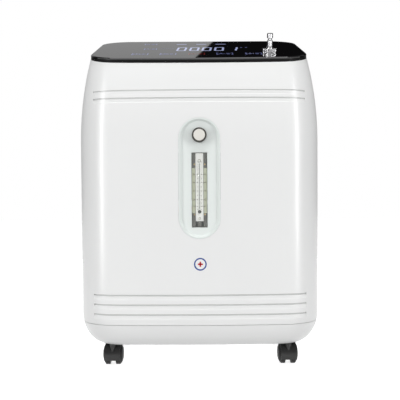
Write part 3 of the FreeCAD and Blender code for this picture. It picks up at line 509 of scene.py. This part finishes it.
def makeFinishes():
    white = (0.86, 0.865, 0.862)
    # the cabinet white carries painted shade along the front cover's grooves
    finishes["white_plastic"] = glossPlastic("cabinetWhite", white, 0.31, 0.0012, coat=0.1, paintsGrooveShade=True)
    finishes["white_satin"] = satinPlastic("cupWhite", (0.78, 0.79, 0.78), 0.42)
    finishes["black_carrier"] = glossPlastic("carrierBlack", (0.004, 0.004, 0.004), 0.3, 0.001,
                                             coat=0.05, shine=0.06)
    finishes["black_glass"] = lidGlass()
    finishes["steel"] = metal("zincSteel", (0.62, 0.62, 0.6), 0.28)
    finishes["rubber"] = softRubber("bumperRubber", (0.02, 0.02, 0.021))
    finishes["bezel"] = glossPlastic("bezelWhite", (0.80, 0.845, 0.825), 0.34, 0.001, coat=0.15)
    finishes["acrylic"] = clearAcrylic()
    finishes["black_float"] = glossPlastic("floatBlack", (0.01, 0.01, 0.011), 0.15, 0.0008)
    finishes["knob_black"] = satinPlastic("gripBlack", (0.045, 0.042, 0.036), 0.4, 0.0004)
    finishes["knob_cap"] = glossPlastic("capIvory", (0.80, 0.785, 0.73), 0.3, 0.0008)
    finishes["brass"] = metal("turnedBrass", (0.60, 0.47, 0.27), 0.24)
    finishes["chrome"] = metal("chrome", (0.52, 0.52, 0.53), 0.17, depth=0.000002)
    finishes["foam"] = openFoam()
    finishes["black_plastic"] = satinPlastic("fittingBlack", (0.025, 0.025, 0.027), 0.45)
    finishes["rocker"] = glossPlastic("rockerBlack", (0.02, 0.02, 0.021), 0.25, 0.0008)
    finishes["red_button"] = glossPlastic("buttonRed", (0.62, 0.03, 0.02), 0.28, 0.0008)
    finishes["caster_hood"] = glossPlastic("hoodBlack", (0.012, 0.012, 0.012), 0.38, 0.0008,
                                           coat=0.06, shine=0.4)
    finishes["caster_wheel"] = satinPlastic("wheelBlack", (0.007, 0.007, 0.007), 0.42, 0.0007, shine=0.22)
    finishes["sheet_steel"] = metal("galvanisedSheet", (0.55, 0.57, 0.58), 0.38, grain=0.006)
    finishes["cast_aluminium"] = metal("castAluminium", (0.6, 0.61, 0.62), 0.5, grain=0.0012, depth=0.0001)
    finishes["aluminium"] = metal("drawnAluminium", (0.7, 0.71, 0.72), 0.3, (1, 1, 0.05))
    finishes["rod"] = metal("machinedRod", (0.66, 0.67, 0.68), 0.25)
    finishes["copper"] = metal("drawnCopper", (0.78, 0.42, 0.28), 0.25)
    finishes["circuit"] = satinPlastic("solderMask", (0.01, 0.13, 0.05), 0.35, 0.002)
    finishes["silicone"] = softRubber("hoseSilicone", (0.7, 0.7, 0.66), 0.45)
    finishes["sound_box"] = softRubber("soundBoard", (0.12, 0.12, 0.125), 0.9)
    # painted light: the flowmeter's olive backing, white strip and stops glow to stand in for light that
    # scatters into the meter
    finishes["meter_olive"] = satinPlastic("backingOlive", (0.42, 0.44, 0.33), 0.45, 0.001, light=0.25)
    finishes["meter_grey"] = satinPlastic("endGrey", (0.13, 0.13, 0.12), 0.4, 0.001)
    finishes["meter_white"] = satinPlastic("stripWhite", (0.82, 0.83, 0.80), 0.35, 0.001, light=0.75)
    finishes["meter_stop"] = satinPlastic("stopWhite", (0.66, 0.66, 0.63), 0.3, 0.001, light=0.2)
    finishes["white_blades"] = satinPlastic("bladeWhite", (0.7, 0.7, 0.69), 0.45)
    finishes["display_light"] = lit("digitGlow", (0.58, 0.64, 1.0), 0.62)


makeFinishes()
print("finishes made:", len(finishes))


def dressNodes():
    slotOf = {s["node"]: s["material_slot"] for s in frame["record"]["subparts"]}
    for name, piece in nodes.items():
        piece.data.materials.clear()
        piece.data.materials.append(finishes[slotOf[name]])


dressNodes()
print("frame dressed")


lid = {
    "slope": math.radians(18.263),
    "rim": (-55 * mm, 533.8 * mm),       # depth and height where the lid's plane is measured
    "glass": 8.02 * mm,                  # top of the glass above it
    "film": 0.10 * mm,
}


def lidPlace(x, y):
    # x and the plan's y in metres, on top of the glass
    tilt = Matrix.Rotation(lid["slope"], 4, "X")
    up = tilt @ Vector((0, 0, lid["glass"]))
    rimY, rimZ = lid["rim"]
    z = rimZ + (y - rimY) * math.tan(lid["slope"])
    return Matrix.Translation(Vector((x, y, z)) + up) @ tilt


def hexBar(length, width, thick):
    # a flat bar with pointed ends along local Y
    deselectAll()
    radius = width / 2 / math.cos(math.radians(30))
    bpy.ops.mesh.primitive_cylinder_add(vertices=6, radius=radius, depth=thick)
    bar = started("bar")
    for side in (-1, 1):
        selectWhere(bar, lambda c, n: c.y * side > 0, "VERT")
        bpy.ops.transform.translate(value=(0, side * (length / 2 - radius), 0))
        objectMode()
    return bar


def flatRing(outer, inner, thick, segments=40):
    deselectAll()
    bpy.ops.mesh.primitive_cylinder_add(vertices=segments, radius=outer, depth=thick)
    ring = started("ring")
    selectWhere(ring, lambda c, n: abs(n.z) > 0.9)
    bpy.ops.mesh.inset(thickness=outer - inner)
    bpy.ops.mesh.bridge_edge_loops()
    objectMode()
    return ring


def shift(x=0.0, y=0.0, turn=0.0):
    return Matrix.Translation((x, y, 0)) @ Matrix.Rotation(math.radians(turn), 4, "Z")


digits = {
    "starts": (-39.5 * mm, -16.5 * mm, 6 * mm, 28.5 * mm),
    "one": 68.6 * mm,
    "width": 17.5 * mm,
    "middle": -3 * mm,                  # plan y of the row's middle
    "height": 52 * mm,
    "stroke": 3.6 * mm,
    "gap": 1.2 * mm,                    # between the ends of two strokes
    "flat": 1.25,                       # level strokes are this much wider
    "lean": 0.11,
}


def makeDigits():
    stroke, gap = digits["stroke"], digits["gap"]
    w, h = digits["width"] - stroke, digits["height"] - stroke
    upright = hexBar(h / 2 - gap, stroke, lid["film"])
    across = hexBar(w - gap, stroke * digits["flat"], lid["film"])
    zero = [copied(upright, shift(side * w / 2, row * h / 4)) for side in (-1, 1) for row in (-1, 1)]
    zero += [copied(across, shift(0, row * h / 2, 90)) for row in (-1, 1)]
    zero = joined("zero", zero)
    lean = Matrix(((1, digits["lean"], 0, 0), (0, 1, 0, 0), (0, 0, 1, 0), (0, 0, 0, 1)))
    placed(zero, lean)
    one = joined("one", [copied(upright, lean @ shift(0, row * h / 4)) for row in (-1, 1)])
    made = [copied(zero, lidPlace(x + digits["width"] / 2, digits["middle"])) for x in digits["starts"]]
    made.append(copied(one, lidPlace(digits["one"], digits["middle"])))
    for spare in (upright, across, zero, one):
        bpy.data.objects.remove(spare)
    done(joined("displayDigits", made), "cabinet", finishes["display_light"])


legends = {
    "bars": (-32.7 * mm, 4.9 * mm, 42.2 * mm),
    "barsY": 72 * mm,
    "bar": (21 * mm, 7 * mm),
    "keys": ((-101.5 * mm, "power"), (-53 * mm, "timer"), (45 * mm, "fan"), (95 * mm, "lamp")),
    "alarm": -3.5 * mm,
    "keysY": -70 * mm,
    "key": (27 * mm, 24 * mm),          # width and depth of a touch key
    "states": ((-92 * mm, 75 * mm, "lamp"), (-88 * mm, 1 * mm, "fan")),
    "state": (22 * mm, 22 * mm),
    "dashes": (-67.5 * mm, 10 * mm),
    "dashCount": 6,
    "dashPitch": 4 * mm,
    "dash": (2.6 * mm, 3.0 * mm),
    "dots": ((78.5 * mm, 17 * mm), (87.5 * mm, 17 * mm)),
    "dot": (5 * mm, 7 * mm),
    "line": 1.7 * mm,                   # stroke of a key's brackets
    "hook": 4 * mm,
    "hookIn": 1.2 * mm,
    "rows": ((-1, 5.5 * mm), (0, 8.0 * mm), (1, 6.5 * mm)),   # the three short lines beside a symbol
    "rowStroke": 2.6 * mm,
    "aside": 0.22,                      # the symbol stands this share of the key left of its middle
    "symbol": 0.62,
    "rowPitch": 0.27,
}


def bracketPair(width, depth, thick):
    made = []
    for side in (-1, 1):
        made.append(placed(hexBar(depth, legends["line"], thick), shift(side * width / 2)))
        for end in (-1, 1):
            hook = hexBar(legends["hook"], legends["line"], thick)
            made.append(placed(hook, shift(side * (width / 2 - legends["hookIn"]), end * depth / 2, 90)))
    return made


def symbol(kind, size, thick):
    # plain pictograms, in shares of their size: a ring with a bar, a clock, a three-bladed fan,
    # a lamp with rays
    made = []
    stroke = 0.15 * size

    def bar(length, width, x=0.0, y=0.0, turn=0.0):
        made.append(placed(hexBar(length, width, thick), shift(x, y, turn)))

    def rays(count, length, width, radius, lead=0):
        for i in range(count):
            degrees = i * 360 // count
            turn = math.radians(degrees)
            bar(size * length, width, -math.sin(turn) * size * radius, math.cos(turn) * size * radius,
                degrees + lead)

    if kind in ("power", "timer"):
        made.append(flatRing(size / 2, size / 2 - stroke, thick))
    if kind == "power":
        bar(size * 0.6, stroke, 0, size * 0.3)
    elif kind == "timer":
        bar(size * 0.34, stroke, 0, size * 0.14)
        bar(size * 0.28, stroke, size * 0.11, 0, 90)
    elif kind == "fan":
        rays(3, 0.48, size * 0.2, 0.26, lead=14)
    else:
        made.append(flatRing(size * 0.26, size * 0.12, thick, 24))
        rays(6, 0.16, stroke, 0.42)
    return made


def legendKey(kind, measures, x, y):
    width, depth = measures
    thick, aside = lid["film"], width * legends["aside"]
    made = bracketPair(width, depth, thick)
    made += [placed(part, shift(-aside)) for part in symbol(kind, depth * legends["symbol"], thick)]
    for row, length in legends["rows"]:
        line = hexBar(length, legends["rowStroke"], thick)
        made.append(placed(line, shift(aside, row * depth * legends["rowPitch"], 90)))
    return [placed(part, lidPlace(x, y)) for part in made]


def levelBar(measures, x, y):
    length, width = measures
    return placed(hexBar(length, width, lid["film"]), lidPlace(x, y) @ shift(0, 0, 90))


def makeLegends():
    bars = [levelBar(legends["bar"], x, legends["barsY"]) for x in legends["bars"]]
    barLight = lit("barGlow", (0.56, 0.60, 1.0), 0.46)
    done(joined("displayBars", bars), "cabinet", barLight)
    keys = []
    for x, kind in legends["keys"]:
        keys += legendKey(kind, legends["key"], x, legends["keysY"])
    for x, y, kind in legends["states"]:
        keys += legendKey(kind, legends["state"], x, y)
    x0, y = legends["dashes"]
    for i in range(legends["dashCount"]):
        keys.append(levelBar(legends["dash"], x0 + i * legends["dashPitch"], y))
    for x, y in legends["dots"]:
        keys.append(levelBar(legends["dot"], x, y))
    keyLight = lit("legendGlow", (0.40, 0.45, 1.0), 0.22)
    done(joined("touchLegends", keys), "cabinet", keyLight)
    alarm = legendKey("lamp", legends["key"], legends["alarm"], legends["keysY"])
    alarmLight = lit("alarmGlow", (1.0, 0.08, 0.06), 0.10)
    done(joined("alarmLegend", alarm), "cabinet", alarmLight)


makeDigits()
makeLegends()
print("display drawn")

meter = {
    "strip": 13.8 * mm,                 # the white strip stands this far behind the front, past the bore
    "stripHalf": 6.4 * mm,
    "stripThick": 1.6 * mm,
    "stripFoot": 249 * mm,
    "top": 362.2 * mm,
    "backing": (9.6 * mm, 2.7 * mm),    # middle and half width of the olive plate each side
    "backingSpan": (262.6 * mm, 337 * mm),
    "backingDepth": (2.0 * mm, 3.4 * mm),
    "ends": ((239.9 * mm, 262.4 * mm), (337.2 * mm, 362.2 * mm)),
    "endSide": (6.6 * mm, 12.5 * mm),
    "endDepth": (3 * mm, 8 * mm),
    "rungDepth": (1.6 * mm, 3 * mm),
    "rungHalf": 1.2 * mm,
    "foot": (240.2 * mm, 248 * mm),
    "footHalf": 3 * mm,
    "footFront": 4 * mm,
    "footGap": 0.4 * mm,
    "endSoft": 0.8 * mm,
    "rungSoft": 0.4 * mm,
    "rod": (0.45 * mm, 76 * mm, 307.5 * mm),              # radius, length, middle
    "stops": ((349.4 * mm, 3.1 * mm), (253.8 * mm, 2.2 * mm)),
    "stopThick": 1.6 * mm,
    "stopHole": 0.45,                   # share of a stop's radius
    "stopSoft": 0.3 * mm,
    "stopAhead": 1.1 * mm,              # of the strip
    "scale": ((5, 326.8 * mm), (4, 313.2 * mm), (3, 299.3 * mm), (2, 285.0 * mm), (1, 274.0 * mm)),
    "half": (320.0 * mm, 306.0 * mm, 292.0 * mm, 279.3 * mm, 269.2 * mm),
    "tick": (2.6 * mm, 0.9 * mm),
    "shortTick": (1.8 * mm, 0.7 * mm),
    "tickAt": (3.6 * mm, 7.4 * mm),
    "shortAt": 3.3 * mm,
    "numeralAt": 9.9 * mm,
    "numeralSize": 4.6 * mm,
    "print": 0.06 * mm,
    "screws": ((-8.2 * mm, 343.2 * mm), (9.0 * mm, 343.2 * mm),
               (-8.5 * mm, 260.6 * mm), (8.5 * mm, 260.6 * mm)),
    "screwHead": (1.4 * mm, 1.0 * mm),
    "screwFront": 1.4 * mm,
}


def slab(name, x0, x1, y0, y1, z0, z1, soft=0.3 * mm):
    # a thin moulded plate with eased edges
    deselectAll()
    bpy.ops.mesh.primitive_cube_add(size=1, location=((x0 + x1) / 2, (y0 + y1) / 2, (z0 + z1) / 2))
    plate = started(name)
    plate.scale = (x1 - x0, y1 - y0, z1 - z0)
    bpy.ops.object.transform_apply(location=True, rotation=True, scale=True)
    bpy.ops.object.mode_set(mode="EDIT")
    bpy.ops.mesh.select_all(action="SELECT")
    bpy.ops.mesh.bevel(offset=soft, segments=2, affect="EDGES")
    objectMode()
    return plate


def facing(x, z, y):
    # stands a flat piece up on the front, reading along X
    return Matrix.Translation((x, y, z)) @ Matrix.Rotation(math.radians(90), 4, "X")


def makeBacking(front):
    middle, half = meter["backing"]
    y0, y1 = (front + depth for depth in meter["backingDepth"])
    plates = [slab("side", x - half, x + half, y0, y1, *meter["backingSpan"]) for x in (-middle, middle)]
    done(joined("meterBacking", plates), "cabinet", finishes["meter_olive"])


def makeEnds(front, back):
    ends = []
    for z0, z1 in meter["ends"]:
        level = (z0 + z1) / 2
        for side in (-1, 1):
            x0, x1 = sorted(side * x for x in meter["endSide"])
            y0, y1 = (front + depth for depth in meter["endDepth"])
            ends.append(slab("end", x0, x1, y0, y1, z0, z1, meter["endSoft"]))
            y0, y1 = (front + depth for depth in meter["rungDepth"])
            half = meter["rungHalf"]
            ends.append(slab("rung", x0, x1, y0, y1, level - half, level + half, meter["rungSoft"]))
    half = meter["footHalf"]
    y0, y1 = front + meter["footFront"], back - meter["footGap"]
    ends.append(slab("foot", -half, half, y0, y1, *meter["foot"], meter["endSoft"]))
    done(joined("meterEnds", ends), "cabinet", finishes["meter_grey"])


def makeStrip(back):
    half = meter["stripHalf"]
    strip = slab("meterStrip", -half, half, back, back + meter["stripThick"],
                 meter["stripFoot"], meter["top"])
    done(strip, "cabinet", finishes["meter_white"])


def makeRod(back):
    radius, length, level = meter["rod"]
    deselectAll()
    bpy.ops.mesh.primitive_cylinder_add(vertices=20, radius=radius, depth=length,
                                        location=(0, back - 2 * radius, level))
    rod = started("meterRod")
    selectWhere(rod, lambda c, n: abs(n.z) > 0.9)
    bpy.ops.mesh.inset(thickness=radius / 3)
    bpy.ops.transform.translate(value=(0, 0, 0.1 * mm))
    objectMode()
    done(rod, "cabinet", finishes["meter_grey"])


def makeStops(back):
    stops = []
    for z, radius in meter["stops"]:
        stop = flatRing(radius, radius * meter["stopHole"], meter["stopThick"])
        selectWhere(stop, lambda c, n: n.z > 0.9)
        bpy.ops.mesh.bevel(offset=meter["stopSoft"], segments=2)
        objectMode()
        stops.append(placed(stop, facing(0, z, back - meter["stopAhead"])))
    done(joined("meterStops", stops), "cabinet", finishes["meter_stop"])


def makeScale(front):
    thick = meter["print"]
    y = front - thick / 2
    tick = hexBar(*meter["tick"], thick)
    short = hexBar(*meter["shortTick"], thick)
    marks = []
    for side in (-1, 1):
        for number, z in meter["scale"]:
            for x in meter["tickAt"]:
                marks.append(copied(tick, facing(side * x, z, y) @ shift(0, 0, 90)))
            marks.append(numeral(str(number), side * meter["numeralAt"], z, y))
        for z in meter["half"]:
            marks.append(copied(short, facing(side * meter["shortAt"], z, y) @ shift(0, 0, 90)))
    for spare in (tick, short):
        bpy.data.objects.remove(spare)
    done(joined("meterScale", marks), "cabinet", printedInk("scaleInk", (0.03, 0.03, 0.028)))


def makeScrews(front):
    y = front + meter["screwFront"]
    screws = [placed(panHead(*meter["screwHead"]), facing(x, z, y)) for x, z in meter["screws"]]
    done(joined("meterScrews", screws), "cabinet", finishes["brass"])


def numeral(text, x, z, y):
    deselectAll()
    bpy.ops.object.text_add()
    letter = bpy.context.object
    letter.data.body = text
    letter.data.size = meter["numeralSize"]
    letter.data.extrude = meter["print"] / 2
    letter.data.align_x = "CENTER"
    letter.data.align_y = "CENTER"
    bpy.ops.object.convert(target="MESH")
    return placed(started("numeral"), facing(x, z, y))


cross = {"long": 1.2, "wide": 0.24, "deep": 0.7, "dome": 0.45}   # shares of a screw head's measures


def panHead(radius, height):
    # a domed head with a cross recess, facing +Z
    deselectAll()
    bpy.ops.mesh.primitive_cylinder_add(vertices=24, radius=radius, depth=height)
    head = started("head")
    selectWhere(head, lambda c, n: n.z > 0.9)
    bpy.ops.mesh.bevel(offset=height * cross["dome"], segments=3)
    objectMode()
    for turn in (0, 90):
        deselectAll()
        bpy.ops.mesh.primitive_cube_add(size=1, location=(0, 0, height * 0.5))
        cutter = started("cutter")
        cutter.scale = (radius * cross["long"], radius * cross["wide"], height * cross["deep"])
        cutter.rotation_euler.z = math.radians(turn)
        addModifier(head, "BOOLEAN", operation="DIFFERENCE", object=cutter)
        bpy.data.objects.remove(cutter)
    return head


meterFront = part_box("flowmeter_block")[0].y
meterBack = meterFront + meter["strip"]
makeBacking(meterFront)
makeEnds(meterFront, meterBack)
makeStrip(meterBack)
makeRod(meterBack)
makeStops(meterBack)
makeScale(meterFront)
makeScrews(meterFront)
print("flowmeter drawn")

badge = {
    "at": (0.6 * mm, 179 * mm),
    "ring": 10.5 * mm,
    "stroke": 2.2 * mm,
    "plus": (9 * mm, 2.6 * mm),
    "thick": 0.12 * mm,
    "sunk": 0.04 * mm,                  # how far it reaches into the front
}


def makeBadge():
    x, z = badge["at"]
    thick = badge["thick"]
    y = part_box("front_cover")[0].y - thick / 2 + badge["sunk"]
    ring = placed(flatRing(badge["ring"], badge["ring"] - badge["stroke"], thick, 64), facing(x, z, y))
    ring.name = "badgeRing"
    done(ring, "cabinet", printedInk("badgeBlue", (0.015, 0.06, 0.30)))
    plus = [placed(hexBar(*badge["plus"], thick), facing(x, z, y) @ shift(0, 0, turn)) for turn in (0, 90)]
    done(joined("badgeCross", plus), "cabinet", printedInk("badgeRed", (0.62, 0.02, 0.025)))


makeBadge()
print("badge drawn")

inlet = {
    "pins": ((-7 * mm, -2 * mm), (0, 2 * mm), (7 * mm, -2 * mm)),
    "half": (1.15 * mm, 2.15 * mm),
    "length": 11 * mm,
    "recess": 5.2 * mm,                 # the pins' tips stand this far inside the rim
    "soft": 0.5 * mm,
}


def makeInletPins():
    low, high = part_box("mains_inlet")
    centre = (low + high) / 2
    tip = high.y - inlet["recess"]
    halfX, halfZ = inlet["half"]
    pins = []
    for dx, dz in inlet["pins"]:
        x, z = centre.x + dx, centre.z + dz
        pins.append(slab("pin", x - halfX, x + halfX, tip - inlet["length"], tip,
                         z - halfZ, z + halfZ, inlet["soft"]))
    done(joined("inletPins", pins), "cabinet", finishes["steel"])


makeInletPins()
print("mains fittings drawn")
